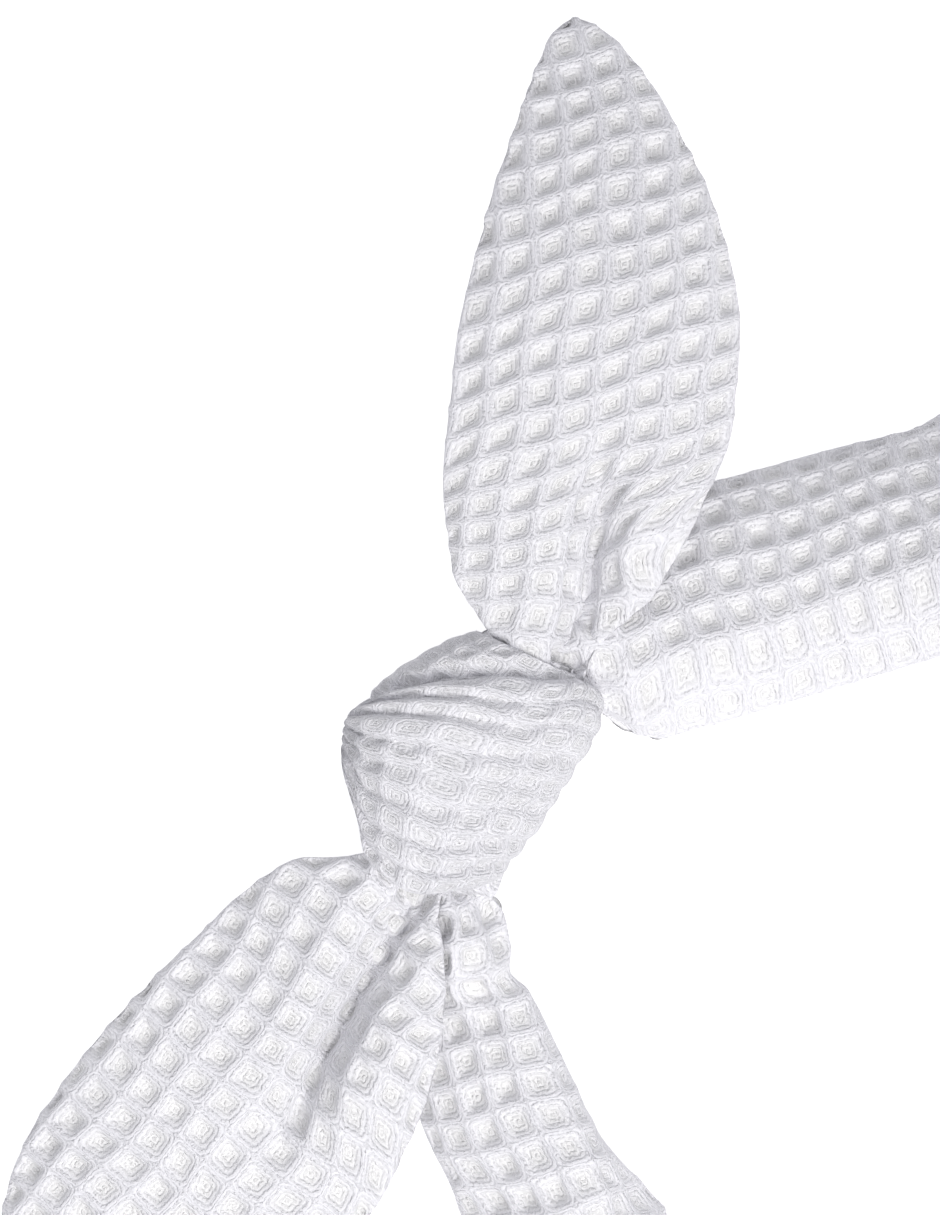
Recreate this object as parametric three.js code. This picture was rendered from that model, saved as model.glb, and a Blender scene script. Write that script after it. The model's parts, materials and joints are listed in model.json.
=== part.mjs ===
import * as THREE from "three";

// Spa headband of waffle cotton, lying on a flat surface with its outer face up. Millimetres, +Z up.
// The origin is the middle of the knot's flat underside. +Y runs from the knot to the nape and X runs
// across, with the upper tie ear on the -X side and the lower one on the +X side.

// Cloth and fits
const clothThickness = 1.6;
const clearance = 0.3;

// Head band: a flat sleeve that leaves the knot on both sides and turns up on edge towards the nape
const bandWidth = 47;
const bandThickness = 9;
const neckWidth = 15;
const neckThickness = 9;
const neckFlare = 34;
const legHeading = THREE.MathUtils.degToRad(45);
const mouthBendRadius = 14;
const cornerRadius = 44;
const napeReach = 140;
const rollStart = 46;
const rollLength = 92;
const gatherLength = 30;
const paddingSteps = { from: 1, to: 25, all: 26 };
const paddingSlackPerWidth = 1.2 / 47;
const roundSteps = 16;

// Nape: a gathered casing with flat elastic in it
const casingWidth = 26;
const casingThickness = 9;
const elasticWidth = 20;
const elasticThickness = 1.5;
const tackLength = 3;

// Tie: two turns round the band and a leaf-shaped ear at each end
const tieWidth = 16;
const tieThickness = 8;
const underTurnWall = 2.7;
const overTurnWall = 2.7;
const turnBulge = 3;
const knotTurn = THREE.MathUtils.degToRad(7);
const knotSide = { low: -28, high: 26 };
const overTurnSide = { low: -20, high: 25 };
const pinchOffset = 9;
const spaceCentre = 4;
const spaceBesideNeck = 13 / 16;
const knotRound = 3;
const barrelDrop = 1.2;
const humpRise = 2.4;
const pressedFlat = 0.7;

const earThickness = 14;
const earArch = 4;
const earRootHalfWidth = 4;
const earRootHalfThickness = 2;
const earRootGap = 0.5;
const earPaddingSlackShare = 9 / 16;
const earSteps = 16;
const acrossSteps = 10;
const earTipHalfWidth = 2.6;
const earTipHalfThickness = 2.3;
const ears = [
  { name: "ear_upper", side: -1, offset: 8.5, heading: 206.7, length: 124, width: 58, bow: -7.5 },
  { name: "ear_lower", side: 1, offset: -0.5, heading: -10.3, length: 127, width: 64, bow: 4 },
];

// Heights and places that follow from the sizes above
const stackHeight = neckThickness + clearance + tieThickness;
const spaceHalf = {
  y: neckWidth / 2 + spaceBesideNeck * tieThickness,
  z: stackHeight / 2 + clearance,
};
const knotMiddle = spaceHalf.z + underTurnWall + clearance + overTurnWall;
const neckHeight = knotMiddle - (tieThickness + clearance) / 2;
const tieHeight = knotMiddle + (neckThickness + clearance) / 2;
const paddingSlack = paddingSlackPerWidth * bandWidth;
const earPaddingSlack = earPaddingSlackShare * clothThickness;

const cottonWhite = () => cloth("#f3f2f6", 0.92);
const wadding = () => cloth("#f7f7f4", 1);
const ribbonWhite = () => cloth("#e9e8e4", 0.8);

function cloth(color, roughness) {
  return new THREE.MeshStandardMaterial({ color, roughness, metalness: 0 });
}

function named(name, geometry, material) {
  const mesh = new THREE.Mesh(geometry, material);
  mesh.name = name;
  return mesh;
}

// A sheet or pad bent into place: share runs along it, across from -1 to 1, face is 1 above and -1 below
function slab(alongSteps, acrossSteps, place) {
  const geometry = new THREE.BoxGeometry(1, 1, 1, alongSteps, acrossSteps, 1);
  return moved(geometry, (p) => place(p.x + 0.5, 2 * p.y, Math.sign(p.z)));
}

// A tube with a wall, open at both ends: angle runs round it, share along it, inside says which wall
function sleeve(aroundSteps, alongSteps, place) {
  const profileSteps = 2 * alongSteps + 2;
  const geometry = new THREE.TorusGeometry(2, 1, profileSteps, aroundSteps);
  return moved(geometry, (p) => {
    const angle = Math.atan2(p.y, p.x);
    const turn = Math.atan2(p.z, Math.hypot(p.x, p.y) - 2) / (2 * Math.PI);
    const step = (Math.round(turn * profileSteps) + profileSteps) % profileSteps;
    const inside = step > alongSteps;
    const share = inside ? (2 * alongSteps + 1 - step) / alongSteps : step / alongSteps;
    return place(angle, share, inside);
  });
}

function moved(geometry, place) {
  const places = geometry.getAttribute("position");
  const point = new THREE.Vector3();
  for (let i = 0; i < places.count; i += 1) {
    point.fromBufferAttribute(places, i);
    const target = place(point);
    places.setXYZ(i, target.x, target.y, target.z);
  }
  geometry.computeVertexNormals();
  return geometry;
}

function smooth(value, from, to) {
  return THREE.MathUtils.smoothstep(value, from, to);
}

// Centre line of one side of the loop, from the knot's mouth to the nape join. side is -1 for the strap
// on the -X side and 1 for the other.
function strapPath(side) {
  const start = new THREE.Vector2(mouthX(side), pinchOffset).rotateAround(new THREE.Vector2(), knotTurn);
  const mouthTurn = legHeading - side * knotTurn;
  const afterBend = new THREE.Vector2(
    start.x + side * mouthBendRadius * (Math.sin(legHeading) - Math.sin(legHeading - mouthTurn)),
    start.y + mouthBendRadius * (Math.cos(legHeading - mouthTurn) - Math.cos(legHeading)),
  );
  const cornerTurn = Math.PI - legHeading;
  const legTop = napeReach - cornerRadius * (1 + Math.cos(legHeading));
  const legLength = (legTop - afterBend.y) / Math.sin(legHeading);
  const bendLength = mouthBendRadius * mouthTurn;
  const length = bendLength + legLength + cornerRadius * cornerTurn;

  // Headings are measured from +X on the +X side and mirrored on the other one
  function at(distance) {
    const out = new THREE.Vector2();
    let heading = legHeading;
    if (distance < bendLength) {
      const startHeading = legHeading - mouthTurn;
      heading = startHeading + distance / mouthBendRadius;
      out.x = start.x + side * mouthBendRadius * (Math.sin(heading) - Math.sin(startHeading));
      out.y = start.y + mouthBendRadius * (Math.cos(startHeading) - Math.cos(heading));
    } else {
      const straight = Math.min(distance - bendLength, legLength);
      heading += Math.max(0, distance - bendLength - legLength) / cornerRadius;
      const turned = Math.sin(heading) - Math.sin(legHeading);
      out.x = afterBend.x + side * (straight * Math.cos(legHeading) + cornerRadius * turned);
      out.y = afterBend.y + straight * Math.sin(legHeading);
      out.y += cornerRadius * (Math.cos(legHeading) - Math.cos(heading));
    }
    return { x: out.x, y: out.y, heading: side > 0 ? heading : Math.PI - heading };
  }
  return { side, length, at };
}

function mouthX(side) {
  return side < 0 ? knotSide.low - clearance : knotSide.high + clearance;
}

// Half sizes, roll and height of the strap at a distance from the knot
function strapSection(path, distance) {
  const flare = smooth(distance, 0, neckFlare);
  const gather = smooth(distance, path.length - gatherLength, path.length);
  const full = THREE.MathUtils.lerp(neckWidth, bandWidth, flare);
  const width = THREE.MathUtils.lerp(full, casingWidth, gather) / 2;
  const thick = THREE.MathUtils.lerp(neckThickness, bandThickness, flare);
  const thickness = THREE.MathUtils.lerp(thick, casingThickness, gather) / 2;
  const roll = (Math.PI / 2) * smooth(distance, rollStart, rollStart + rollLength);
  const resting = Math.hypot(width * Math.sin(roll), thickness * Math.cos(roll));
  return { width, thickness, roll, height: THREE.MathUtils.lerp(neckHeight, resting, flare) };
}

// A point of the strap: across and up are shares of its half width and half thickness
function strapPoint(path, distance, across, up, inset) {
  const { width, thickness, roll, height } = strapSection(path, distance);
  const { x, y, heading } = path.at(distance);
  const sideways = across * (width - inset);
  const outward = up * (thickness - inset);
  const flat = sideways * Math.cos(roll) - path.side * outward * Math.sin(roll);
  return new THREE.Vector3(
    x - flat * Math.sin(heading),
    y + flat * Math.cos(heading),
    height + path.side * sideways * Math.sin(roll) + outward * Math.cos(roll),
  );
}

function strapSleeve(path) {
  return sleeve(roundSteps, paddingSteps.all, (angle, share, inside) =>
    strapPoint(path, share * path.length, Math.cos(angle), Math.sin(angle), inside ? clothThickness : 0),
  );
}

// A pad of elliptical section that fills a stretch of the strap, with its stations at the sleeve's own
function strapFilling(path, from, to, gap) {
  const inset = clothThickness + gap;
  const steps = Math.ceil(to - from);
  return moved(new THREE.CylinderGeometry(1, 1, 1, roundSteps, steps), (p) => {
    const distance = (THREE.MathUtils.lerp(from, to, 0.5 + p.y) * path.length) / paddingSteps.all;
    return strapPoint(path, distance, p.x, -p.z, inset);
  });
}

function strap(side, name) {
  const path = strapPath(side);
  const { from, to, all } = paddingSteps;
  const joinFrom = to + (clearance * all) / path.length;
  const group = new THREE.Group();
  group.add(named(name, strapSleeve(path), cottonWhite()));
  group.add(named(`${name}_padding`, strapFilling(path, from, to, paddingSlack), wadding()));
  group.add(named(`${name}_join`, strapFilling(path, joinFrom, all, 2 * clearance), cottonWhite()));
  return group;
}

// The nape lies between the two strap ends
function nape() {
  const left = strapPath(-1);
  const right = strapPath(1);
  const low = left.at(left.length).x + clearance;
  const high = right.at(right.length).x - clearance;
  const middle = new THREE.Vector3(0, napeReach, casingWidth / 2);
  const group = new THREE.Group();
  group.add(named("nape_casing", casing(low, high, middle), cottonWhite()));
  const tackFrom = low + tackLength;
  const tackTo = high - tackLength;
  const elasticLength = tackTo - tackFrom - 2 * clearance;
  const elastic = new THREE.BoxGeometry(elasticLength, elasticThickness, elasticWidth);
  elastic.translate((low + high) / 2, middle.y, middle.z);
  group.add(named("nape_elastic", elastic, ribbonWhite()));
  group.add(named("elastic_tack_left", casingPlug(low, tackFrom, middle), ribbonWhite()));
  group.add(named("elastic_tack_right", casingPlug(tackTo, high, middle), ribbonWhite()));
  return group;
}

function casing(low, high, middle) {
  return sleeve(roundSteps, 4, (angle, share, inside) => {
    const inset = inside ? clothThickness : 0;
    return new THREE.Vector3(
      THREE.MathUtils.lerp(low, high, share),
      middle.y + Math.cos(angle) * (casingThickness / 2 - inset),
      middle.z + Math.sin(angle) * (casingWidth / 2 - inset),
    );
  });
}

function casingPlug(low, high, middle) {
  const inset = clothThickness + clearance;
  return moved(new THREE.CylinderGeometry(1, 1, 1, roundSteps, 1), (p) =>
    new THREE.Vector3(
      THREE.MathUtils.lerp(low, high, 0.5 + p.y),
      middle.y + p.x * (casingThickness / 2 - inset),
      middle.z - p.z * (casingWidth / 2 - inset),
    ),
  );
}

// A point on a rounded ring of the knot, grown outwards from the space that the band runs through
function ringPoint(x, angle, grow, bulge) {
  const power = 2 / knotRound;
  const across = Math.sign(Math.cos(angle)) * Math.abs(Math.cos(angle)) ** power;
  const up = Math.sign(Math.sin(angle)) * Math.abs(Math.sin(angle)) ** power;
  const reach = across < 0 ? spaceHalf.y + grow + bulge : spaceHalf.y + grow;
  return new THREE.Vector3(x, spaceCentre + across * reach, knotMiddle + up * (spaceHalf.z + grow));
}

function barrel(x, side) {
  const share = (2 * x - side.low - side.high) / (side.high - side.low);
  return barrelDrop * share ** 4;
}

// Half of its stations lie under the hump, which ends where the over turn begins
function underTurn() {
  const step = overTurnSide.low - clearance;
  return sleeve(24, 8, (angle, share, inside) => {
    const x = share < 0.5
      ? THREE.MathUtils.lerp(knotSide.low, step, 2 * share)
      : THREE.MathUtils.lerp(step, overTurnSide.high - clearance, 2 * share - 1);
    const hump = x < step ? humpRise * Math.sin((Math.PI * (step - x)) / (step - knotSide.low)) : 0;
    const bulge = inside ? 0 : turnBulge;
    return ringPoint(x, angle, inside ? 0 : underTurnWall + hump, bulge);
  });
}

// Whatever lies within pressedFlat of the surface rests flat on it
function overTurn() {
  const innerGrow = underTurnWall + clearance;
  return sleeve(24, 6, (angle, share, inside) => {
    const x = THREE.MathUtils.lerp(overTurnSide.low, overTurnSide.high, share);
    const grow = inside ? innerGrow : innerGrow + overTurnWall - barrel(x, overTurnSide);
    const point = ringPoint(x, angle, grow, inside ? turnBulge : 2 * turnBulge);
    return point.setZ(point.z < pressedFlat ? 0 : point.z);
  });
}

// A straight run of cloth through the knot, with an elliptical section
function throughKnot(offsetLow, offsetHigh, height, width, thickness) {
  return moved(new THREE.CylinderGeometry(1, 1, 1, roundSteps, 3), (p) =>
    new THREE.Vector3(
      THREE.MathUtils.lerp(knotSide.low, knotSide.high, 0.5 + p.y),
      THREE.MathUtils.lerp(offsetLow, offsetHigh, 0.5 + p.y) + (p.x * width) / 2,
      height - (p.z * thickness) / 2,
    ),
  );
}

function knot() {
  const pinch = throughKnot(pinchOffset, pinchOffset, neckHeight, neckWidth, neckThickness);
  const pass = throughKnot(ears[0].offset, ears[1].offset, tieHeight, tieWidth, tieThickness);
  const group = new THREE.Group();
  group.rotation.z = knotTurn;
  group.add(named("band_pinch", pinch, cottonWhite()));
  group.add(named("tie_pass", pass, cottonWhite()));
  group.add(named("knot_under_turn", underTurn(), cottonWhite()));
  group.add(named("knot_over_turn", overTurn(), cottonWhite()));
  return group;
}

// Half sizes of an ear at a share of its length: narrow at the neck, widest in its lower half
function earSection(ear, share) {
  const leaf = Math.sin(Math.PI * share ** 0.78) ** 0.72;
  const body = (ear.width / 2) * leaf;
  const ending = THREE.MathUtils.lerp(earRootHalfWidth, earTipHalfWidth, smooth(share, 0, 0.1));
  const width = Math.max(body, ending);
  const swell = Math.sin(Math.PI * Math.min(1, share)) ** 0.8;
  const neck = THREE.MathUtils.lerp(earRootHalfThickness, tieThickness / 2, smooth(share, 0, 0.06));
  const ends = THREE.MathUtils.lerp(neck, earTipHalfThickness, smooth(share, 0.1, 1));
  return { width, thickness: Math.max(ends, (earThickness / 2) * swell) };
}

// The root is rounded in plan, to the circle of its own half width
function earPoint(ear, share, across, up, inset) {
  const { width, thickness } = earSection(ear, share);
  const tipDrop = tieHeight - earTipHalfThickness - clearance;
  const dome = Math.sqrt(1 - across ** 2);
  const height = earArch * Math.sin(Math.PI * share) - tipDrop * share ** 2;
  return new THREE.Vector3(
    THREE.MathUtils.lerp(-earRootHalfWidth * dome, ear.length, share),
    ear.bow * Math.sin(Math.PI * share) + across * (width - inset),
    height + up * (clearance / 2 + (thickness - inset) * dome),
  );
}

function earPanel(ear, up) {
  return slab(earSteps, acrossSteps, (share, across, face) =>
    earPoint(ear, share, across, up, face === up ? 0 : clothThickness),
  );
}

// The padding stops one station short of each end, with its stations at the panels' own
function earPadding(ear) {
  const inset = clothThickness + earPaddingSlack;
  return slab(earSteps - 2, acrossSteps, (share, across, face) =>
    earPoint(ear, THREE.MathUtils.lerp(1, earSteps - 1, share) / earSteps, across, face, inset),
  );
}

function tieEar(ear) {
  const { name, side, offset, heading } = ear;
  const group = new THREE.Group();
  const rootX = mouthX(side) + side * (earRootHalfWidth + earRootGap);
  const root = new THREE.Vector3(rootX, offset, tieHeight);
  group.position.copy(root.applyAxisAngle(new THREE.Vector3(0, 0, 1), knotTurn));
  group.rotation.z = THREE.MathUtils.degToRad(heading);
  group.add(named(`${name}_front`, earPanel(ear, 1), cottonWhite()));
  group.add(named(`${name}_back`, earPanel(ear, -1), cottonWhite()));
  group.add(named(`${name}_padding`, earPadding(ear), wadding()));
  return group;
}

const headband = new THREE.Group();
headband.add(strap(-1, "strap_left"), strap(1, "strap_right"), nape(), knot());
headband.add(...ears.map(tieEar));

export default headband;
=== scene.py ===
import json
import math

import bpy
import numpy as np
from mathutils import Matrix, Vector


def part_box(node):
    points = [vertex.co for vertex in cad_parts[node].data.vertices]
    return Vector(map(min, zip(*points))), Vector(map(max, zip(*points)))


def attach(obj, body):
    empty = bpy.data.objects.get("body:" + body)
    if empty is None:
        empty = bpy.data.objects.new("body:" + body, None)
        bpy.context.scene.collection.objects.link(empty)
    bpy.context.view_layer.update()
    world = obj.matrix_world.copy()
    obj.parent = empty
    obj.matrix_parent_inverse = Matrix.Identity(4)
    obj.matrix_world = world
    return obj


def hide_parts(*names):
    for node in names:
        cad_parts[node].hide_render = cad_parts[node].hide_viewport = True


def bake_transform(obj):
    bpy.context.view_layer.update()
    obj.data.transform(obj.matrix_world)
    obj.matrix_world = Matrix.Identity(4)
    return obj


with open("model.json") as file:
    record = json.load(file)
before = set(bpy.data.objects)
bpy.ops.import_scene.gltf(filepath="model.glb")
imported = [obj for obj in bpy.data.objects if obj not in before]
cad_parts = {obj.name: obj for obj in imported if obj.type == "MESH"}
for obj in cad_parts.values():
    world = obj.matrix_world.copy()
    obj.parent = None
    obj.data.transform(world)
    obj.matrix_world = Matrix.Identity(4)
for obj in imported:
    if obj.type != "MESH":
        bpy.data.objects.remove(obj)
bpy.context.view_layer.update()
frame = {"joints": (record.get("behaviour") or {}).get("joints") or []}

# Lengths are in millimetres here, and become metres as each mesh is made.
mm = 0.001
weave = {
    "cell": 7.2,  # one waffle
    "depth": 1.85,  # ridge to pit
    "squareness": 6.0,  # 2 for a round pit, more for a square one
    "floorShare": 0.18,  # how much of a waffle is the flat floor of its pit
    "wallShare": 0.97,  # where the wall meets the ridge
    "wander": 0.5,  # how far the rows stray from straight
    "uneven": 0.35,  # how much one pit differs from the next
    "sideRelief": 0.14,  # what is left of the waffle where the cloth stands upright
    "crossing": 0.14,  # how far the ridges stand up where they cross
    "step": 0.62,  # between mesh points
}
joints = {j["name"]: j for j in frame["joints"]}


def smoothStep(x, low, high):
    t = np.clip((np.asarray(x, float) - low) / (high - low), 0, 1)
    return t * t * (3 - 2 * t)


def mix(a, b, share):
    return a + (b - a) * share


def easeCurve(knots, at):
    # a smooth curve through (place, value) knots that doesn't overshoot between them
    x, y = np.array(knots, float).T
    slope = np.diff(y) / np.diff(x)
    tangent = np.concatenate(([slope[0]], np.zeros(len(x) - 2), [slope[-1]]))
    for i in range(1, len(x) - 1):
        if slope[i - 1] * slope[i] > 0:
            tangent[i] = 2 / (1 / slope[i - 1] + 1 / slope[i])
    at = np.clip(np.asarray(at, float), x[0], x[-1])
    i = np.clip(np.searchsorted(x, at, side="right") - 1, 0, len(x) - 2)
    wide = x[i + 1] - x[i]
    t = (at - x[i]) / wide
    return (
        (2 * t**3 - 3 * t**2 + 1) * y[i]
        + (t**3 - 2 * t**2 + t) * wide * tangent[i]
        + (3 * t**2 - 2 * t**3) * y[i + 1]
        + (t**3 - t**2) * wide * tangent[i + 1]
    )


def roll(points, shift):
    return np.roll(points, shift, axis=1)


def normalsOf(rings, closedAlong):
    # normals of a tube given as rings, all on the one side of its cloth
    if closedAlong:
        along = np.roll(rings, -1, axis=0) - np.roll(rings, 1, axis=0)
    else:
        along = np.gradient(rings, axis=0)
    around = roll(rings, -1) - roll(rings, 1)
    normal = np.cross(around, along)
    return normal / np.maximum(np.linalg.norm(normal, axis=2, keepdims=True), 1e-9)


def turnedOut(rings, cloth, closedAlong):
    # the same tube, with its rings running the way that makes the normals point out
    fromMiddle = rings - rings.mean(axis=1, keepdims=True)
    if (normalsOf(rings, closedAlong) * fromMiddle).sum() < 0:
        return rings[:, ::-1], cloth[:, ::-1]
    return rings, cloth


def cellNoise(i, j, seed):
    # an even spread from -1 to 1, one value for each waffle
    value = np.sin(i * 127.1 + j * 311.7 + seed * 74.7) * 43758.5453
    return 2 * (value - np.floor(value)) - 1


def waffle(along, across, seed):
    # height in mm and pit depth from 0 to 1 at places on the flat cloth
    wander = weave["wander"]
    a = along + wander * np.sin(0.23 * across + 0.09 * along + seed)
    a = a + wander * np.sin(0.071 * along + 2 * seed)
    b = across + wander * np.sin(0.19 * along - 0.11 * across + 3 * seed)
    ca, cb = a / weave["cell"], b / weave["cell"]
    u = np.abs(ca - np.floor(ca) - 0.5) * 2
    v = np.abs(cb - np.floor(cb) - 0.5) * 2
    power = weave["squareness"]
    square = np.clip((u**power + v**power) ** (1 / power), 0, 1)
    pit = smoothStep(square, weave["wallShare"], weave["floorShare"])
    uneven = 1 + weave["uneven"] * cellNoise(np.floor(ca), np.floor(cb), seed)
    crossing = weave["crossing"] * (u * v) ** 4
    return weave["depth"] * (0.25 - pit * uneven + crossing), pit, ca, cb


def clothTube(name, rings, cloth, seed, relief=1.0, upright=weave["sideRelief"], closedAlong=False):
    # rings: along x around x 3, cloth: the same grid's places on the flat cloth. The waffle stands in
    # the mesh itself, and the yarns in the material through the clothUV map.
    rings, cloth = turnedOut(rings, cloth, closedAlong)
    height, pit, ca, cb = waffle(cloth[..., 0], cloth[..., 1], seed)
    normals = normalsOf(rings, closedAlong)
    relief = relief * mix(upright, 1, smoothStep(np.abs(normals[..., 2]), 0.1, 0.8))
    rings = rings + normals * (height * relief)[..., None]
    count, wide = rings.shape[:2]
    index = np.arange(count * wide).reshape(count, wide)
    below = np.roll(index, -1, axis=0) if closedAlong else index[1:]
    here = index if closedAlong else index[:-1]
    nextHere, nextBelow = roll(here, -1), roll(below, -1)
    faces = np.stack([here, nextHere, nextBelow, below], axis=-1).reshape(-1, 4)
    mesh = bpy.data.meshes.new(name)
    caps = [] if closedAlong else [index[0][::-1], index[-1]]
    corners = np.concatenate([faces.ravel(), *caps])
    starts = np.arange(len(faces)) * 4
    totals = np.full(len(faces), 4)
    for cap in caps:
        starts = np.append(starts, starts[-1] + totals[-1])
        totals = np.append(totals, len(cap))
    mesh.vertices.add(count * wide)
    mesh.vertices.foreach_set("co", (rings.reshape(-1, 3) * mm).ravel().astype(np.float32))
    mesh.loops.add(len(corners))
    mesh.loops.foreach_set("vertex_index", corners.astype(np.int32))
    mesh.polygons.add(len(starts))
    mesh.polygons.foreach_set("loop_start", starts.astype(np.int32))
    mesh.polygons.foreach_set("use_smooth", np.ones(len(starts), bool))
    mesh.update(calc_edges=True)
    uv = np.stack([ca, cb], axis=-1).reshape(-1, 2)[corners]
    layer = mesh.uv_layers.new(name="clothUV")
    layer.data.foreach_set("uv", uv.ravel().astype(np.float32))
    # pitDepth also sets the painted light tint of ridges and pits in the material
    depth = mesh.attributes.new("pitDepth", "FLOAT", "POINT")
    depth.data.foreach_set("value", (pit * relief).ravel().astype(np.float32))
    mesh.validate()
    piece = bpy.data.objects.new(name, mesh)
    bpy.context.scene.collection.objects.link(piece)
    mesh.materials.append(cottonCloth)
    return piece


def arcAcross(rings, start=0):
    # distance round each ring from its point start, so the waffles keep their size
    steps = np.linalg.norm(np.diff(rings, axis=1), axis=2)
    run = np.concatenate([np.zeros((len(rings), 1)), np.cumsum(steps, axis=1)], axis=1)
    return run - run[:, start : start + 1]


def arcAlong(points):
    steps = np.linalg.norm(np.diff(points, axis=0), axis=1)
    return np.concatenate([[0], np.cumsum(steps)])


# how the stuffed covers settle
settle = {
    "lastFrame": 20,
    "pressure": 4.0,
    "coarse": 6,  # one point of the simulated copy for so many of the cover's
    "mostTravel": 1.8,
    "floor": 0.4,  # no lower than this
    "tension": 25,
    "compression": 12,
    "bending": 0.3,
}


def spreadOut(values, picks, count, axis):
    # values given at picks along one axis, filled in at every place from 0 to count
    at = np.arange(count)
    low = np.clip(np.searchsorted(picks, at, side="right") - 1, 0, len(picks) - 2)
    share = (at - picks[low]) / (picks[low + 1] - picks[low])
    share = smoothStep(share, 0, 1)
    shape = [1, 1, 1]
    shape[axis] = count
    share = share.reshape(shape)
    return np.take(values, low, axis) * (1 - share) + np.take(values, low + 1, axis) * share


def settled(name, rings, heldAlong):
    # a coarse copy of the closed cover is blown up by its stuffing, and the cover follows it
    rows = np.unique(np.linspace(0, len(rings) - 1, len(rings) // settle["coarse"]).astype(int))
    columns = np.arange(0, rings.shape[1], settle["coarse"])
    coarse = rings[rows][:, columns]
    count, wide = coarse.shape[:2]
    index = np.arange(count * wide).reshape(count, wide)
    here, below = index[:-1], index[1:]
    faces = np.stack([here, roll(here, -1), roll(below, -1), below], axis=-1)
    faces = faces.reshape(-1, 4).tolist()
    faces += [index[0][::-1].tolist(), index[-1].tolist()]
    mesh = bpy.data.meshes.new(name)
    mesh.from_pydata((coarse.reshape(-1, 3) * mm).tolist(), [], faces)
    copy = bpy.data.objects.new(name, mesh)
    bpy.context.scene.collection.objects.link(copy)
    held = copy.vertex_groups.new(name="held")
    held.add(index[heldAlong[rows]].ravel().tolist(), 1.0, "REPLACE")
    cloth = copy.modifiers.new("cloth", "CLOTH")
    cloth.settings.vertex_group_mass = "held"
    cloth.settings.use_pressure = True
    cloth.settings.uniform_pressure_force = settle["pressure"]
    cloth.settings.effector_weights.gravity = 0
    cloth.settings.tension_stiffness = settle["tension"]
    cloth.settings.compression_stiffness = settle["compression"]
    cloth.settings.bending_stiffness = settle["bending"]
    cloth.point_cache.frame_start = 1
    cloth.point_cache.frame_end = settle["lastFrame"]
    for step in range(1, settle["lastFrame"] + 1):
        bpy.context.scene.frame_set(step)
        ready = copy.evaluated_get(bpy.context.evaluated_depsgraph_get()).data
    places = np.empty(count * wide * 3, np.float32)
    ready.vertices.foreach_get("co", places)
    moved = places.reshape(count, wide, 3) / mm - coarse
    bpy.data.objects.remove(copy)
    bpy.data.meshes.remove(mesh)
    bpy.context.scene.frame_set(1)
    reach = np.linalg.norm(moved, axis=2, keepdims=True)
    moved = moved * np.minimum(1, settle["mostTravel"] / np.maximum(reach, 1e-6))
    moved = spreadOut(moved, rows, len(rings), 0)
    moved = np.concatenate([moved, moved[:, :1]], axis=1)
    moved = spreadOut(moved, np.append(columns, rings.shape[1]), rings.shape[1], 1)
    out = rings + moved
    out[..., 2] = np.maximum(out[..., 2], settle["floor"])
    print(name, "settled, most travel", round(float(reach.max()), 2), "mm")
    return out


def nodeGroup(name, inputs, outputs):
    tree = bpy.data.node_groups.new(name, "ShaderNodeTree")
    for label, kind, value in inputs:
        socket = tree.interface.new_socket(name=label, in_out="INPUT", socket_type=kind)
        if value is not None:
            socket.default_value = value
    for label, kind in outputs:
        tree.interface.new_socket(name=label, in_out="OUTPUT", socket_type=kind)
    return tree, tree.nodes.new("NodeGroupInput"), tree.nodes.new("NodeGroupOutput")


def mathNode(tree, operation, first, second=None):
    node = tree.nodes.new("ShaderNodeMath")
    node.operation = operation
    for socket, value in zip(node.inputs, (first, second)):
        if value is None:
            continue
        if isinstance(value, (int, float)):
            socket.default_value = value
        else:
            tree.links.new(value, socket)
    return node.outputs[0]


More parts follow.
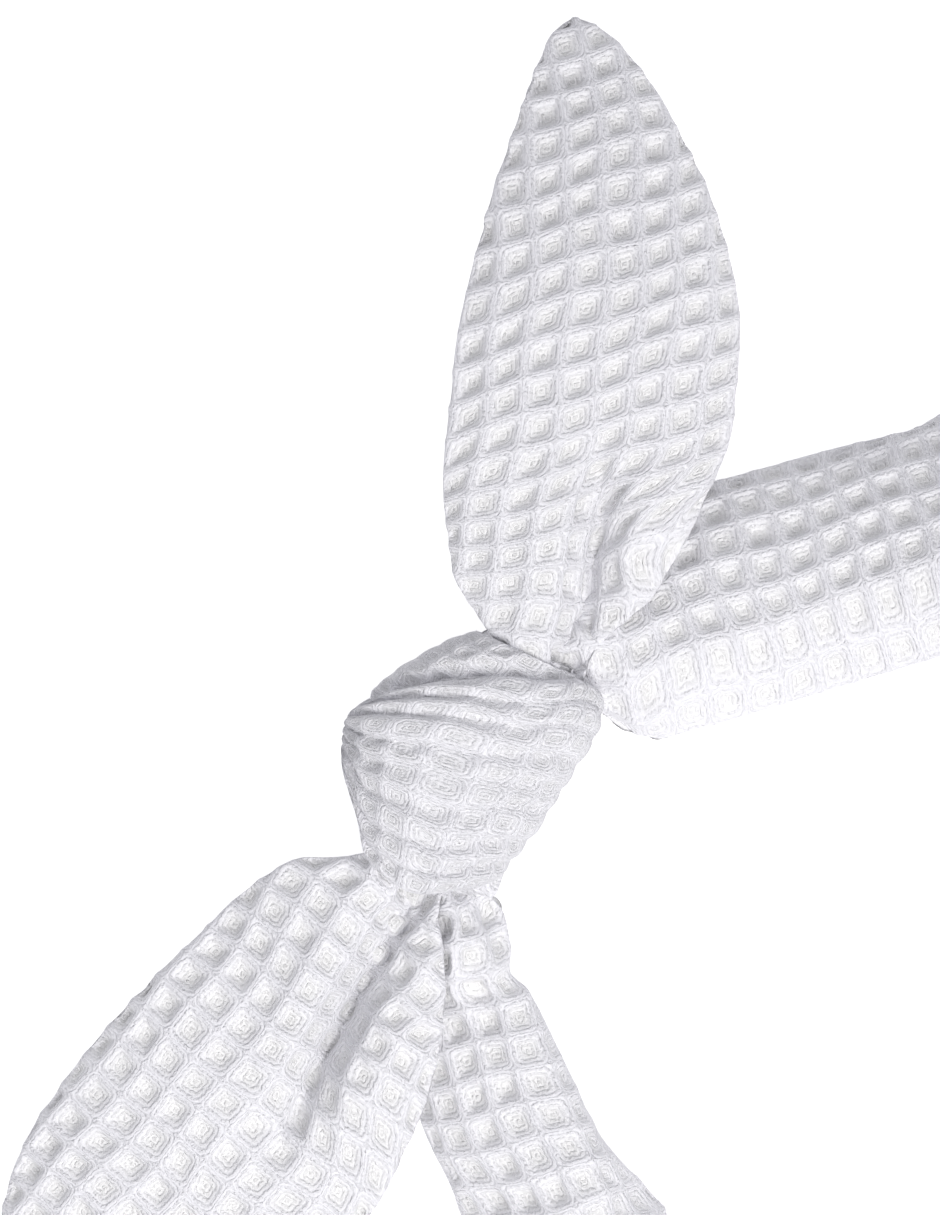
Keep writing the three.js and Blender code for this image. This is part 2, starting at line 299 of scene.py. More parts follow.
def yarnFloats():
    # the rings of yarn in each waffle, from clothUV, as a height and a thread mask
    tree, given, out = nodeGroup(
        "yarnFloats",
        [
            ("Cloth", "NodeSocketVector", None),
            ("Yarns", "NodeSocketFloat", 4.0),
            ("Stray", "NodeSocketFloat", 0.17),
        ],
        [("Height", "NodeSocketFloat"), ("Thread", "NodeSocketFloat")],
    )
    fuzz = tree.nodes.new("ShaderNodeTexNoise")
    fuzz.inputs["Scale"].default_value = 5.5
    fuzz.inputs["Detail"].default_value = 4.0
    fuzz.inputs["Roughness"].default_value = 0.7
    tree.links.new(given.outputs["Cloth"], fuzz.inputs["Vector"])
    stray = tree.nodes.new("ShaderNodeVectorMath")
    stray.operation = "SUBTRACT"
    tree.links.new(fuzz.outputs["Color"], stray.inputs[0])
    stray.inputs[1].default_value = (0.5, 0.5, 0.5)
    bent = tree.nodes.new("ShaderNodeVectorMath")
    bent.operation = "MULTIPLY_ADD"
    tree.links.new(stray.outputs[0], bent.inputs[0])
    tree.links.new(given.outputs["Stray"], bent.inputs[1])
    tree.links.new(given.outputs["Cloth"], bent.inputs[2])
    parts = tree.nodes.new("ShaderNodeSeparateXYZ")
    tree.links.new(bent.outputs[0], parts.inputs[0])
    sides = []
    for axis in (0, 1):
        share = mathNode(tree, "FRACT", parts.outputs[axis])
        away = mathNode(tree, "ABSOLUTE", mathNode(tree, "SUBTRACT", share, 0.5))
        sides.append(mathNode(tree, "POWER", mathNode(tree, "MULTIPLY", away, 2.0), 5.0))
    square = mathNode(tree, "POWER", mathNode(tree, "ADD", sides[0], sides[1]), 1 / 5)
    turns = mathNode(tree, "MULTIPLY", square, given.outputs["Yarns"])
    phase = mathNode(tree, "MULTIPLY", turns, math.tau)
    yarn = mathNode(tree, "MULTIPLY_ADD", mathNode(tree, "SINE", phase), 0.5)
    tree.nodes[-1].inputs[2].default_value = 0.5
    # a yarn stands out here and sinks there
    patch = tree.nodes.new("ShaderNodeTexNoise")
    patch.inputs["Scale"].default_value = 13.0
    patch.inputs["Detail"].default_value = 3.0
    tree.links.new(given.outputs["Cloth"], patch.inputs["Vector"])
    broken = mathNode(tree, "MULTIPLY_ADD", patch.outputs["Fac"], 3.0)
    tree.nodes[-1].inputs[2].default_value = -0.75
    height = mathNode(tree, "MULTIPLY", yarn, broken)
    tree.links.new(height, out.inputs["Height"])
    tree.links.new(yarn, out.inputs["Thread"])
    return tree


def softLint():
    # the fine lint and uneven yarn that cotton shows close up
    tree, given, out = nodeGroup(
        "softLint",
        [("Place", "NodeSocketVector", None), ("Scale", "NodeSocketFloat", 1400.0)],
        [("Lint", "NodeSocketFloat"), ("Patch", "NodeSocketFloat")],
    )
    lint = tree.nodes.new("ShaderNodeTexNoise")
    lint.inputs["Detail"].default_value = 4.0
    lint.inputs["Roughness"].default_value = 0.65
    tree.links.new(given.outputs["Place"], lint.inputs["Vector"])
    tree.links.new(given.outputs["Scale"], lint.inputs["Scale"])
    patch = tree.nodes.new("ShaderNodeTexNoise")
    patch.inputs["Detail"].default_value = 2.0
    tree.links.new(given.outputs["Place"], patch.inputs["Vector"])
    tree.links.new(mathNode(tree, "MULTIPLY", given.outputs["Scale"], 0.035), patch.inputs["Scale"])
    tree.links.new(lint.outputs["Fac"], out.inputs["Lint"])
    tree.links.new(patch.outputs["Fac"], out.inputs["Patch"])
    return tree


yarnGroup = yarnFloats()
lintGroup = softLint()


def colourMix(tree, share, low, high):
    node = tree.nodes.new("ShaderNodeMix")
    node.data_type = "RGBA"
    factor, first, second = node.inputs[0], node.inputs[6], node.inputs[7]
    tree.links.new(share, factor)
    for socket, value in ((first, low), (second, high)):
        if isinstance(value, tuple):
            socket.default_value = (*value, 1)
        else:
            tree.links.new(value, socket)
    return node.outputs[2]


cotton = {
    # ridge and pit colours are painted light: the ridges take a cool lavender shade tint and the pit
    # floors a warm, lit tint
    "ridge": (0.905, 0.90, 0.94),
    "pit": (0.94, 0.935, 0.925),
    # patch: the darker tone of the random patches, and also the colour of the painted shade between yarns
    "patch": (0.87, 0.868, 0.89),
    "yarnBump": 0.00028,
    "lintBump": 0.00022,
    "gap": 0.14,  # painted shade: how much darker the cloth is painted between yarns, where the grooves are shaded
    "patchShare": 0.35,
    "roughness": 0.82,
    "roughnessSpread": 0.2,
    "sheen": 0.25,
    "sheenRoughness": 0.5,
    "specular": 0.25,
}


def waffleCotton(name, look):
    material = bpy.data.materials.new(name)
    material.use_nodes = True
    tree = material.node_tree
    shader = tree.nodes["Principled BSDF"]
    uv = tree.nodes.new("ShaderNodeUVMap")
    uv.uv_map = "clothUV"
    place = tree.nodes.new("ShaderNodeTexCoord")
    yarn = tree.nodes.new("ShaderNodeGroup")
    yarn.node_tree = yarnGroup
    tree.links.new(uv.outputs["UV"], yarn.inputs["Cloth"])
    lint = tree.nodes.new("ShaderNodeGroup")
    lint.node_tree = lintGroup
    tree.links.new(place.outputs["Object"], lint.inputs["Place"])
    depth = tree.nodes.new("ShaderNodeAttribute")
    depth.attribute_name = "pitDepth"
    # colour by pit depth is painted light: a cool lavender shade tint on the ridges and a warm, lit tint
    # in the pits
    base = colourMix(tree, depth.outputs["Fac"], look["ridge"], look["pit"])
    # painted shade in the grooves between the yarns of each waffle
    gaps = mathNode(tree, "SUBTRACT", 1.0, yarn.outputs["Thread"])
    between = mathNode(tree, "MULTIPLY", gaps, look["gap"])
    shaded = colourMix(tree, between, base, look["patch"])
    patchy = mathNode(tree, "MULTIPLY", lint.outputs["Patch"], look["patchShare"])
    tree.links.new(colourMix(tree, patchy, shaded, look["patch"]), shader.inputs["Base Color"])
    rough = mathNode(tree, "MULTIPLY_ADD", lint.outputs["Lint"], look["roughnessSpread"])
    tree.nodes[-1].inputs[2].default_value = look["roughness"] - look["roughnessSpread"] / 2
    tree.links.new(rough, shader.inputs["Roughness"])
    bumps = None
    heights = (yarn.outputs["Height"], look["yarnBump"]), (lint.outputs["Lint"], look["lintBump"])
    for height, distance in heights:
        bump = tree.nodes.new("ShaderNodeBump")
        bump.inputs["Distance"].default_value = distance
        bump.inputs["Strength"].default_value = 1.0
        tree.links.new(height, bump.inputs["Height"])
        if bumps is not None:
            tree.links.new(bumps, bump.inputs["Normal"])
        bumps = bump.outputs["Normal"]
    tree.links.new(bumps, shader.inputs["Normal"])
    shader.inputs["Sheen Weight"].default_value = look["sheen"]
    shader.inputs["Sheen Roughness"].default_value = look["sheenRoughness"]
    shader.inputs["Specular IOR Level"].default_value = look["specular"]
    return material


cottonCloth = waffleCotton("waffleCotton", cotton)
print("materials made")

# outlines as (distance from the ear's root, distance from its middle line)
earShapes = {
    "ear_upper": {
        "heading": 206.7,
        "length": 123.6,
        "left": [
            (-16, 6), (-4, 10.5), (0, 13.6), (11, 20.5), (31, 23.3), (55, 21.8), (79, 17.7),
            (103, 10.9), (117, 6), (122.6, 2.4), (123.6, 0),
        ],
        "right": [
            (-16, -5), (-4, -8.5), (6.5, -19), (25, -28.5), (43, -34.4), (61, -35), (77, -32.2),
            (97, -23.8), (114, -13), (122, -4.4), (123.6, 0),
        ],
        "crease": [(-16, -3), (-5, -4.7), (6, -6.2), (22, -8.6), (39, -7.3), (60, -6)],
        "creaseEnd": 44,
        "skew": 0.36,
        "seed": 1.3,
    },
    "ear_lower": {
        "heading": -10.3,
        "length": 125.6,
        "left": [
            (-16, 4), (-7, 6.5), (1.5, 15), (16, 25.5), (30, 31.4), (50, 35.6), (66, 36),
            (82, 32.5), (98, 24.5), (112, 14), (122, 4.5), (125.6, 0),
        ],
        "right": [
            (-16, -6), (-2.7, -13), (4, -20.6), (15, -24.8), (25, -26.2), (42, -28.3),
            (60, -29.3), (76, -28.6), (93, -24), (110, -13.5), (122, -4.5), (125.6, 0),
        ],
        "crease": [(-16, 2), (-6, 3), (3, 3.4), (21, 6.5), (42, 10.2), (70, 12)],
        "creaseEnd": 60,
        "skew": 0.0,
        "seed": 2.1,
    },
}
ears = {
    "start": -16,  # how far the neck reaches into the knot
    "thickness": 14,
    "creaseDepth": 2.2,
    "creaseWidth": 4.2,
    "neckThickness": 8,
    "tipThickness": 4.5,
    "arch": 5,
    "heldTo": 10,  # the neck is held still while the ear settles
    "tipRise": 2.6,
    "halfRound": 112,  # points across one face
    "fill": 0.35,
    "blendFrom": 6,  # behind the hinge line
    "blendTo": 12,  # beyond it
}


def turned(points, heading, origin):
    angle = math.radians(heading)
    c, s = math.cos(angle), math.sin(angle)
    x, y, z = points[..., 0], points[..., 1], points[..., 2]
    return np.stack([origin[0] + x * c - y * s, origin[1] + x * s + y * c, origin[2] + z], axis=-1)


def earRings(shape, root):
    rows = int((shape["length"] - ears["start"]) / weave["step"])
    along = np.linspace(ears["start"], shape["length"] - 0.4, rows)[:, None]
    half = ears["halfRound"]
    turn = (np.arange(half) + 0.5) / half * np.pi
    front = np.cos(turn)  # from the left edge to the right one
    across = np.concatenate([front, front[::-1]])[None, :]
    dome = np.concatenate([np.sin(turn), -np.sin(turn)])[None, :]
    left = easeCurve(shape["left"], along)
    right = easeCurve(shape["right"], along)
    sideways = mix(right, left, (across + 1) / 2)
    share = np.clip(along / shape["length"], 0, 1)
    swell = np.sin(np.pi * share**0.72) ** 0.7
    ends = mix(ears["neckThickness"], ears["tipThickness"], smoothStep(share, 0.05, 1))
    thick = np.maximum(ends, ears["thickness"] * swell) * smoothStep(shape["length"] - along + 3, 0, 9)
    height = ears["arch"] * np.sin(np.pi * share) - (root[2] - ears["tipRise"]) * share**2
    # two lobes beside the crease near the knot, one smooth dome beyond it
    crease = easeCurve(shape["crease"], along)
    lobed = smoothStep(along, shape["creaseEnd"], shape["creaseEnd"] * 0.25)
    fromCrease = np.abs(sideways - crease)
    valley = ears["creaseDepth"] * lobed * np.exp(-((fromCrease / ears["creaseWidth"]) ** 1.25))
    shoulder = 0.35 * lobed * np.exp(-(((fromCrease - 9) / 5) ** 2))
    up = np.where(dome > 0, dome * (1 - valley + shoulder), dome) * thick / 2
    rings = np.stack([along + 0 * across, sideways, height + up], axis=-1)
    rings = turned(rings, shape["heading"], root)
    rings = settled("earCopy", rings, along[:, 0] < ears["heldTo"])
    cloth = np.empty(rings.shape[:2] + (2,))
    frontRun = arcAcross(rings[:, :half], half // 2)
    backRun = arcAcross(rings[:, half:], half // 2)
    cloth[..., 1] = np.concatenate([-frontRun, backRun], axis=1)
    run = arcAlong(rings[:, half // 2])[:, None]
    cloth[..., 0] = run + shape["skew"] * cloth[..., 1] * smoothStep(along, 0, 30)
    return rings, cloth


for name, shape in earShapes.items():
    root = np.array(joints[name + "_lift"]["pos_m"]) / mm
    rings, cloth = earRings(shape, root)
    piece = clothTube(name + "_cover", rings, cloth, shape["seed"])
    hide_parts(name + "_front", name + "_back", name + "_padding")
    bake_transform(piece)
print("ears made")

casingBox = [np.array(c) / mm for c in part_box("nape_casing")]
napeMiddle = (casingBox[0] + casingBox[1]) / 2
loop = {
    "knotTurn": 7.0,
    "legHeading": 45.0,
    "mouthBend": 14.0,
    "corner": 44.0,
    "inside": 12.0,  # how far the strap reaches into the knot
    "neckHeight": 11.0,
}
# edges and sizes as (distance from the mouth of the knot, value); rise and fall are in degrees
strapShapes = {
    "strap_left": {
        "side": -1,
        "mouth": (-29.2, 5.6),
        "inner": [
            (-12, 6), (0, 8), (4, 12.5), (8.6, 16.7), (13.3, 21.8), (19, 23.8), (46, 23.9),
            (90, 23.3),
        ],
        "outer": [(-12, 7), (0, 10), (10, 18), (22, 23), (35, 23.8), (92, 23.8)],
        "width": [
            (-12, 14), (0, 18), (8, 36), (18, 50), (30, 52), (140, 52), (165, 44), (195, 27),
            (205, 26),
        ],
        "lip": [(-12, 5), (0, 8), (10, 17), (20, 18), (90, 17), (205, 9)],
        "thick": [(-12, 7), (0, 8), (20, 8.5), (60, 8), (150, 8), (205, 8.4)],
        "rise": [(-12, 0), (5, 12), (20, 22), (50, 24), (80, 36), (110, 66), (135, 90), (205, 90)],
        "fall": [(-12, 0), (5, 50), (16, 66), (60, 66), (90, 50), (125, 0), (205, 0)],
        "lipStretch": 0.62,
        "seed": 3.7,
    },
    "strap_right": {
        "side": 1,
        "mouth": (24.9, 12.4),
        "inner": [
            (-12, 6), (0, 8.8), (6, 10.6), (12, 10.2), (17, 8.6), (21, 11), (30, 13), (41, 15.2),
            (52, 17.5), (72, 26.5),
        ],
        "outer": [(-12, 7), (0, 9), (10, 14), (25, 17), (42, 17.4), (60, 15.3), (75, 15.5)],
        "width": [
            (-12, 14), (0, 20), (8, 34), (18, 42), (30, 44), (50, 46), (72, 52), (140, 52),
            (160, 44), (185, 27), (195, 26),
        ],
        "lip": [
            (-12, 5), (0, 9), (8, 14), (15, 12), (25, 10), (45, 10), (55, 12), (72, 22),
            (100, 18), (195, 9),
        ],
        "thick": [(-12, 7), (0, 9), (20, 9), (60, 8), (150, 8), (195, 8.4)],
        "rise": [(-12, 0), (5, 6), (20, 18), (45, 26), (75, 40), (105, 70), (130, 90), (195, 90)],
        "fall": [(-12, 0), (5, 60), (16, 90), (50, 98), (75, 85), (95, 50), (125, 0), (195, 0)],
        "lipStretch": 1,
        "seed": 5.2,
    },
}


strapLook = {
    "halfRound": 96,  # points across one face
    "fineSteps": 120,
    "lipRound": 3.2,  # half the width of the bend at the lip
    "pleats": 9.5,
    "pleatDepth": 1.5,
    "pleatsEnd": 32,
    "ownLine": (82, 127),  # where the straight beside the knot gives way to the loop's own line
    "ownEdges": (126, 93),  # where the edges set in plan give way to the cloth's own
    "neckEnd": 26,
    "seat": 0.6,  # lowest point above the surface
    "heldTo": 6,
    "heldAtNape": 30,
    "uprightFrom": 88,  # from here on the waffle stands fully on the upright cloth as well
    "uprightTo": 112,
    "blendFrom": 85,
    "blendShortOfNape": 4,
    "fill": 0.3,
}


def strapPath(shape):
    # centre line from inside the knot to the nape, as points and headings a step apart: straight beside
    # the knot, and on the loop's own line further on
    side = shape["side"]
    leg, twist = math.radians(loop["legHeading"]), math.radians(loop["knotTurn"])
    first = side * twist
    bend = loop["mouthBend"] * (leg - first)
    mouth = np.array([side * shape["mouth"][0], shape["mouth"][1]])
    afterX = mouth[0] + loop["mouthBend"] * (math.sin(leg) - math.sin(first))
    afterY = mouth[1] + loop["mouthBend"] * (math.cos(first) - math.cos(leg))
    legTop = napeMiddle[1] - loop["corner"] * (1 + math.cos(leg))
    straight = (legTop - afterY) / math.sin(leg)
    total = bend + straight + loop["corner"] * (math.pi - leg)
    steps = int((total + loop["inside"]) / weave["step"])
    distance = np.linspace(-loop["inside"], total, steps)
    onLeg = np.clip(distance - bend, None, straight)
    past = np.maximum(0, distance - bend - straight) / loop["corner"]
    x = afterX + onLeg * math.cos(leg) + loop["corner"] * (np.sin(leg + past) - math.sin(leg))
    y = afterY + onLeg * math.sin(leg) + loop["corner"] * (math.cos(leg) - np.cos(leg + past))
    further = smoothStep(distance, *strapLook["ownLine"])
    x = mix(mouth[0] + distance * math.cos(leg), x, further)
    y = mix(mouth[1] + distance * math.sin(leg), y, further)
    heading = np.unwrap(np.arctan2(np.gradient(y), np.gradient(x)))
    return distance, side * x, y, np.where(side > 0, heading, np.pi - heading)


def strapRings(shape):
    distance, x, y, heading = strapPath(shape)
    column = distance[:, None]
    half = strapLook["halfRound"]
    fineSteps = strapLook["fineSteps"]
    turn = (np.arange(half) + 0.5) / half * np.pi
    front = np.cos(turn) * (0.72 + 0.28 * np.abs(np.cos(turn)))
    across = np.concatenate([front, front[::-1]])[None, :]
    dome = np.concatenate([np.sin(turn) ** 0.8, -(np.sin(turn) ** 0.8)])[None, :]
    width = easeCurve(shape["width"], column)
    thick = easeCurve(shape["thick"], column)
    rise = np.radians(easeCurve(shape["rise"], column))
    fall = np.radians(easeCurve(shape["fall"], column))
    # the middle of the cloth, from the outer edge to the inner one: a face that rises, then a lip
    # that falls
    fine = np.linspace(-0.5, 0.5, fineSteps + 1)[None, :] * width
    turnAt = width / 2 - easeCurve(shape["lip"], column)
    slope = rise - fall * smoothStep(fine - turnAt, -strapLook["lipRound"], strapLook["lipRound"])
    step = width / fineSteps
    q = np.cumsum(np.cos(slope) * step, axis=1)
    z = np.cumsum(np.sin(slope) * step, axis=1)
    q = q - (q[:, :1] + q[:, -1:]) / 2
    place = (across / 2 + 0.5) * fineSteps
    rows = np.arange(len(distance))[:, None]
    low = np.clip(np.floor(place).astype(int), 0, fineSteps - 1)
    part = place - low

    def pick(values):
        return values[rows, low] * (1 - part) + values[rows, low + 1] * part

    slopeAt, sideways, up = pick(slope), pick(q), pick(z)
    outward = dome * thick / 2
    # pleats that run out from the knot
    pleats = np.cos(across * strapLook["pleats"] + 0.6) * strapLook["pleatDepth"]
    pleats = pleats * smoothStep(column, strapLook["pleatsEnd"], 4) * (dome > 0)
    sideways = sideways - np.sin(slopeAt) * (outward + pleats)
    up = up + np.cos(slopeAt) * (outward + pleats)
    # near the knot the two edges are set in plan
    low, high = sideways.min(axis=1, keepdims=True), sideways.max(axis=1, keepdims=True)
    inner, outer = easeCurve(shape["inner"], column), easeCurve(shape["outer"], column)
    placed = mix(-outer, inner, (sideways - low) / (high - low))
    sideways = mix(sideways, placed, smoothStep(column, *strapLook["ownEdges"]))
    resting = up - up.min(axis=1, keepdims=True) + strapLook["seat"]
    neck = up - up.mean(axis=1, keepdims=True) + loop["neckHeight"]
    up = mix(neck, resting, smoothStep(column, 0, strapLook["neckEnd"]))
    # inner edge is on the left of the +X strap and on the right of the other one
    flat = sideways * shape["side"]
    px = x[:, None] - flat * np.sin(heading)[:, None]
    py = y[:, None] + flat * np.cos(heading)[:, None]
    rings = np.stack([px, py, up], axis=-1)
    if shape["side"] < 0:
        rings = rings[:, ::-1]
    held = (distance < strapLook["heldTo"]) | (distance > distance[-1] - strapLook["heldAtNape"])
    rings = settled("strapCopy", rings, held)
    cloth = np.empty(rings.shape[:2] + (2,))
    first, second = arcAcross(rings[:, :half], half // 2), arcAcross(rings[:, half:], half // 2)
    # the cloth is pulled wider over the lip
    inward = np.concatenate([-first, second], axis=1)
    pastTurn = np.maximum(0, inward - turnAt)
    cloth[..., 1] = (1 - shape["lipStretch"]) * pastTurn - inward
    cloth[..., 0] = column
    return rings, cloth


for name, shape in strapShapes.items():
    rings, cloth = strapRings(shape)
    full = smoothStep(cloth[..., 0], strapLook["uprightFrom"], strapLook["uprightTo"])
    upright = mix(weave["sideRelief"], 1, full)
    piece = clothTube(name + "_cover", rings, cloth, shape["seed"], upright=upright)
    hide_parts(name, name + "_padding", name + "_join")
    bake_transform(piece)
print("straps made")

napeLook = {
    "ruffle": 5.6,
    "ruffleDepth": 1.3,
    "overlap": 2.0,  # how far the cover reaches over each strap
    "gather": 1.7,  # how much cloth is drawn up into the casing
    "around": 120,
    "floor": 0.3,
    "relief": 0.55,
    "seed": 6.4,
    "fill": 0.3,
}


def napeRings():
    overlap = napeLook["overlap"]
    length = casingBox[1][0] - casingBox[0][0] + 2 * overlap
    steps = int(length / weave["step"])
    x = np.linspace(casingBox[0][0] - overlap, casingBox[1][0] + overlap, steps)[:, None]
    turn = np.linspace(0, 2 * np.pi, napeLook["around"], endpoint=False)[None, :]
    high = (casingBox[1][2] - casingBox[0][2]) / 2 - 0.8
    thin = (casingBox[1][1] - casingBox[0][1]) / 2 - 1.0
    phase = x * 2 * np.pi / napeLook["ruffle"] + 0.7 * np.sin(x * 0.31)
    waves = np.sin(phase + 0.8 * np.sin(turn * 2 + x * 0.1))
    waves = waves * smoothStep(np.abs(x - napeMiddle[0]), length / 2, length / 2 - 8)
    grow = napeLook["ruffleDepth"] * waves * 0.6
    y = napeMiddle[1] + np.cos(turn) * (thin + grow)
    z = napeMiddle[2] + np.sin(turn) * (high + 0.3 * grow)
    z = np.maximum(z, napeLook["floor"])
    rings = np.stack([x + 0 * y, y, z], axis=-1)
    rings = rings[:, ::-1]
    cloth = np.empty(rings.shape[:2] + (2,))
    cloth[..., 0] = x * napeLook["gather"]
    cloth[..., 1] = arcAcross(rings)
    return rings, cloth


rings, cloth = napeRings()
nape = clothTube("nape_casing_cover", rings, cloth, napeLook["seed"], relief=napeLook["relief"], upright=1)
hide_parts("nape_casing", "nape_elastic", "elastic_tack_left", "elastic_tack_right")
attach(nape, "nape")
print("nape made")

knotShape = {
    "middle": [(-30, 6.5), (-20, 4), (-10, 1), (0, -0.8), (10, 0.4), (20, 3), (30, 3.5)],
    "halfWidth": [
        (-30, 13), (-27, 15.3), (-20, 18.6), (-10, 21), (0, 22.3), (10, 20), (20, 16.4), (30, 12),
    ],
    "halfHeight": [(-30, 10), (-20, 14), (0, 15.6), (20, 13.6), (30, 10)],
    "centre": 15.2,
    "low": [
        (0, -27), (40, -27.5), (90, -22.5), (130, -14), (160, -4), (180, 0), (225, -12),
        (270, -20), (320, -25), (360, -27),
    ],
    "high": [
        (0, 16), (40, 20.5), (90, 26), (130, 24.5), (160, 15), (180, 11), (225, 17), (270, 19),
        (320, 17), (360, 16),
    ],
    "wrap": 7.0,  # thickness of the folded turn
    "pleat": 6.2,
    "pleatDepth": 2.0,
    "crowding": 1.55,  # how many times closer the waffles lie across the folded turn
    "around": 250,
    "across": 184,
    "floor": 0.5,
    "relief": 0.42,
    "foldSeed": 0.4,
    "seed": 7.9,
    "fill": 0.5,
}
# the first turn, which lies lower and behind the other one
underShape = {
    "low": [(0, -28.5), (180, -26), (360, -28.5)],
    "high": [(0, 12), (180, 8), (360, 12)],
    "wrap": 5.0,
    "pleatDepth": 0.8,
    "deep": 3.6,  # how far it lies below the over turn
    "shallow": 3.0,  # how much of that it wins back where it comes out into the open
    "relief": 0.5,
    "foldSeed": 2.0,
    "seed": 8.8,
}


def strip(count):
    # the section of a flattened roll: x from -1 to 1 and height from -1 to 1, outer side first
    t = (np.arange(count) + 0.5) / count * 2 * np.pi
    c, s = np.cos(t), np.sin(t)
    return -np.sign(c) * np.abs(c) ** 0.8, np.sign(s) * np.abs(s) ** 0.45


def turnRings(shape, sink):
    # a turn of the tie round the knot: rings follow it round, and each ring is the turn's own section
    angle = np.linspace(0, 2 * np.pi, knotShape["around"], endpoint=False)[:, None]
    degrees = np.degrees(angle)
    along, up = strip(knotShape["across"])
    along, up = along[None, :], up[None, :]
    first, last = easeCurve(shape["low"], degrees), easeCurve(shape["high"], degrees)
    x = (first + last) / 2 + (last - first) / 2 * along
    thick = shape["wrap"]
    section = -thick / 2 + thick / 2 * up - sink(x, degrees)
    width = along * 23
    waver = width + 2.2 * np.sin(angle * 2 + shape["foldSeed"])
    fold = np.abs(np.sin(np.pi * waver / knotShape["pleat"] + 0.3 * np.sin(width * 0.4)))
    crowded = 1 + 0.6 * smoothStep(np.abs(degrees - 175), 70, 10)
    crowded = crowded * (0.25 + 0.75 * np.abs(np.sin(angle)) ** 0.6)
    pleats = shape["pleatDepth"] * (fold**0.7 - 0.6) * (up > 0)
    section = section + pleats * smoothStep(up, 0, 0.9) * crowded
    halfWidth = easeCurve(knotShape["halfWidth"], x) + section
    halfHeight = easeCurve(knotShape["halfHeight"], x) + section
    c, s = np.cos(angle), np.sin(angle)
    y = easeCurve(knotShape["middle"], x) + halfWidth * np.sign(c) * np.abs(c) ** 0.85
    z = knotShape["centre"] + halfHeight * np.sign(s) * np.abs(s) ** 0.85
    rings = np.stack([x, y, np.maximum(z, knotShape["floor"] + 0 * z)], axis=-1)
    cloth = np.empty(rings.shape[:2] + (2,))
    cloth[..., 0] = width * knotShape["crowding"]
    cloth[..., 1] = angle * 20.6 + 2.0 * along
    return rings, cloth


def noSink(x, degrees):
    return 0 * x


def underSink(x, degrees):
    edge = easeCurve(knotShape["low"], degrees)
    return underShape["deep"] - underShape["shallow"] * smoothStep(edge - 1.0 - x, 0, 5)


def turnCover(name, shape, sink):
    rings, cloth = turnRings(shape, sink)
    return clothTube(name, rings, cloth, shape["seed"], relief=shape["relief"], closedAlong=True)


overTurn = turnCover("knot_over_turn_cover", knotShape, noSink)
underTurn = turnCover("knot_under_turn_cover", underShape, underSink)
# the gathered band and the tie, where they run through the knot and fill its mouths
through = {
    "band_pinch": {"middle": (4.5, 4.5), "height": 11.6, "half": (12.6, 7.6), "folds": 7, "seed": 9.1},
    "tie_pass": {"middle": (8.5, -0.5), "height": 19.0, "half": (9.0, 4.2), "folds": 5, "seed": 9.9},
}
throughLook = {
    "from": -26.8,
    "to": 25.2,
    "around": 96,
    "foldDepth": 1.1,
    "endTaper": 3.2,
    "relief": 0.5,
}


def throughRings(shape):
    x = np.arange(throughLook["from"], throughLook["to"], weave["step"])[:, None]
    angle = np.linspace(0, 2 * np.pi, throughLook["around"], endpoint=False)[None, :]
    share = (x - x[0]) / (x[-1] - x[0])
    grow = throughLook["foldDepth"] * np.cos(shape["folds"] * angle + 1.2 * np.sin(0.08 * x))
    grow = grow - throughLook["endTaper"] * smoothStep(np.abs(share - 0.5), 0.42, 0.5)
    y = mix(*shape["middle"], share) + (shape["half"][0] + grow) * np.cos(angle)
    z = shape["height"] - (shape["half"][1] + grow * 0.7) * np.sin(angle)
    c, s = math.cos(math.radians(loop["knotTurn"])), math.sin(math.radians(loop["knotTurn"]))
    rings = np.stack([x * c - y * s, x * s + y * c, z], axis=-1)
    return rings, np.stack([x + 0 * y, arcAcross(rings)], axis=-1)


knotPieces = [overTurn, underTurn]
for name, shape in through.items():
    rings, cloth = throughRings(shape)
    piece = clothTube(name + "_cover", rings, cloth, shape["seed"], relief=throughLook["relief"])
    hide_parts(name)
    knotPieces.append(piece)
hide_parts("knot_over_turn")
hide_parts("knot_under_turn")
for piece in knotPieces:
    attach(piece, "band")
print("knot made")

studio = {
    "floorSize": 3.0,
    "floorColour": (0.96, 0.96, 0.965),
    "floorGlow": 0.2,
    "floorSeenGlow": 0.4,  # how much brighter the floor looks to the camera
    "skyStrength": 1.0,
    "skyLow": (0.40, 0.40, 0.43),
    "skyHigh": (0.66, 0.66, 0.685),
    "keyPower": 6.5,
    "keySize": 0.5,
    "keyPlace": (0.26, -0.5, 0.82),  # to the right, up in the view, and off the floor
    "keyColour": (1, 0.99, 0.975),
    "cameraHeight": 0.95,
    "aim": (-29.3, -12.1, 16.0),
    "upHeading": 209.0,
    "frameWide": 188.0,
}


def floorMaterial():
    material = bpy.data.materials.new("paleFloor")
    material.use_nodes = True
    tree = material.node_tree
    shader = tree.nodes["Principled BSDF"]
    shader.inputs["Base Color"].default_value = (*studio["floorColour"], 1)
    shader.inputs["Roughness"].default_value = 0.9
    shader.inputs["Emission Color"].default_value = (1, 1, 1, 1)
    path = tree.nodes.new("ShaderNodeLightPath")
    glow = mathNode(tree, "MULTIPLY_ADD", path.outputs["Is Camera Ray"], studio["floorSeenGlow"])
    tree.nodes[-1].inputs[2].default_value = studio["floorGlow"]
    tree.links.new(glow, shader.inputs["Emission Strength"])
    return material


def buildFloor():
    size = studio["floorSize"] / 2
    mesh = bpy.data.meshes.new("paleFloor")
    corners = [(-size, -size, 0), (size, -size, 0), (size, size, 0), (-size, size, 0)]
    mesh.from_pydata(corners, [], [(0, 1, 2, 3)])
    floor = bpy.data.objects.new("paleFloor", mesh)
    mesh.materials.append(floorMaterial())
    bpy.context.scene.collection.objects.link(floor)


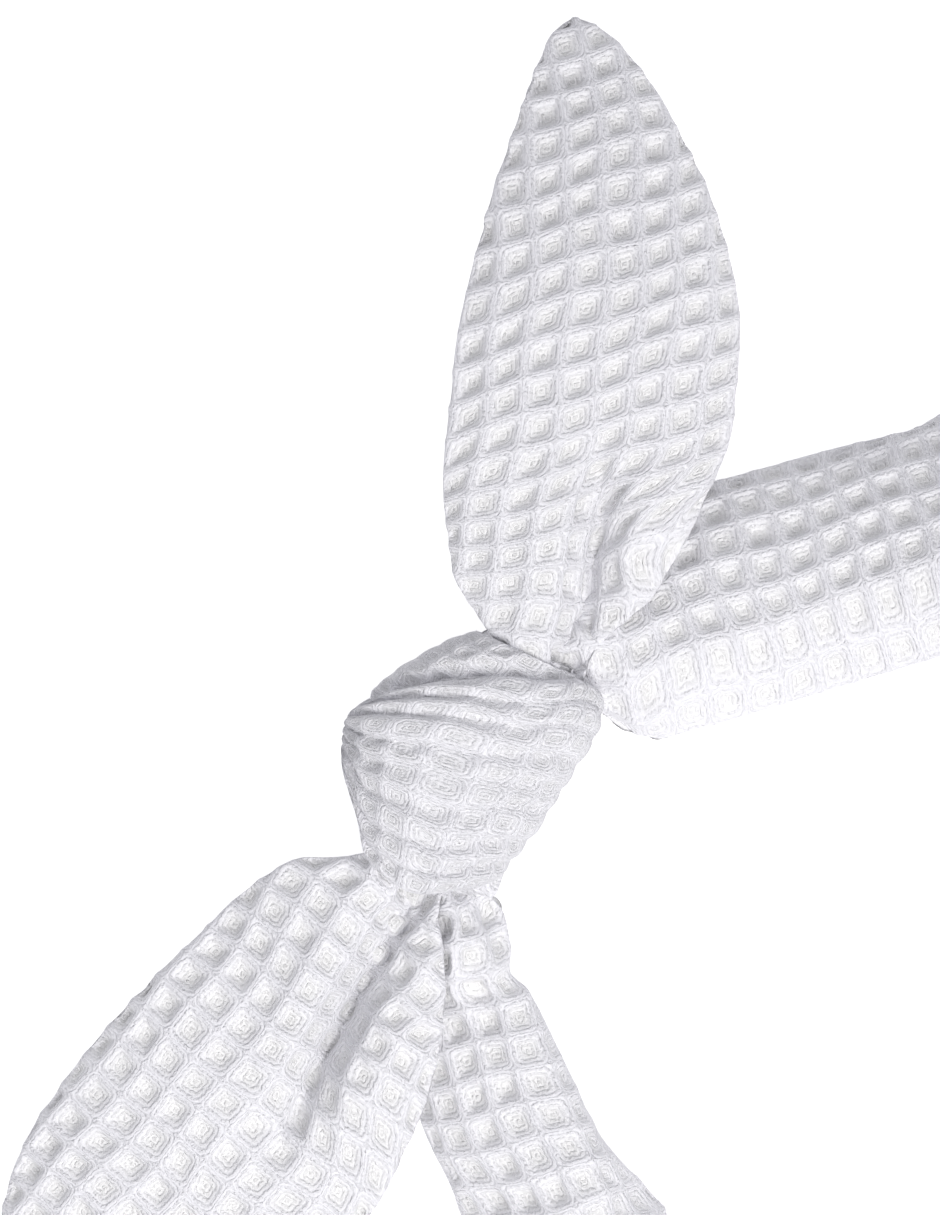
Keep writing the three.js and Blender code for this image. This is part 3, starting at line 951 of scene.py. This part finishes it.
def buildLight(name, place, target, size, power, colour):
    lamp = bpy.data.lights.new(name, "AREA")
    lamp.size = size
    lamp.energy = power
    lamp.color = colour
    holder = bpy.data.objects.new(name, lamp)
    holder.location = place
    holder.rotation_euler = (Vector(target) - Vector(place)).to_track_quat("-Z", "Y").to_euler()
    bpy.context.scene.collection.objects.link(holder)


def buildCamera():
    camera = bpy.data.cameras.new("camera")
    holder = bpy.data.objects.new("camera", camera)
    aim = Vector(studio["aim"]) * mm
    holder.location = aim + Vector((0, 0, studio["cameraHeight"]))
    holder.rotation_euler = (0, 0, math.radians(studio["upHeading"] - 90))
    camera.sensor_fit = "HORIZONTAL"
    camera.lens = camera.sensor_width * studio["cameraHeight"] / (studio["frameWide"] * mm)
    camera.clip_end = 20
    bpy.context.scene.collection.objects.link(holder)
    bpy.context.scene.camera = holder


def inView(right, up, height):
    # a place in metres to the right of and above the middle of the camera's view
    heading = math.radians(studio["upHeading"])
    upWay = Vector((math.cos(heading), math.sin(heading), 0))
    rightWay = Vector((math.sin(heading), -math.cos(heading), 0))
    return Vector(studio["aim"]) * mm + rightWay * right + upWay * up + Vector((0, 0, height))


def buildSky():
    # a soft box of light: bright overhead, dimmer towards the horizon
    world = bpy.data.worlds.new("studio")
    world.use_nodes = True
    tree = world.node_tree
    place = tree.nodes.new("ShaderNodeTexCoord")
    parts = tree.nodes.new("ShaderNodeSeparateXYZ")
    tree.links.new(place.outputs["Generated"], parts.inputs[0])
    upward = mathNode(tree, "MAXIMUM", parts.outputs[2], 0.0)
    colour = colourMix(tree, upward, studio["skyLow"], studio["skyHigh"])
    background = tree.nodes["Background"]
    tree.links.new(colour, background.inputs["Color"])
    background.inputs["Strength"].default_value = studio["skyStrength"]
    bpy.context.scene.world = world


buildFloor()
buildCamera()
aimPoint = inView(0, 0, 0)
keyPlace = inView(*studio["keyPlace"])
buildLight("keyLight", keyPlace, aimPoint, studio["keySize"], studio["keyPower"], studio["keyColour"])
buildSky()
bpy.context.scene.view_settings.view_transform = "Standard"
print("studio made")
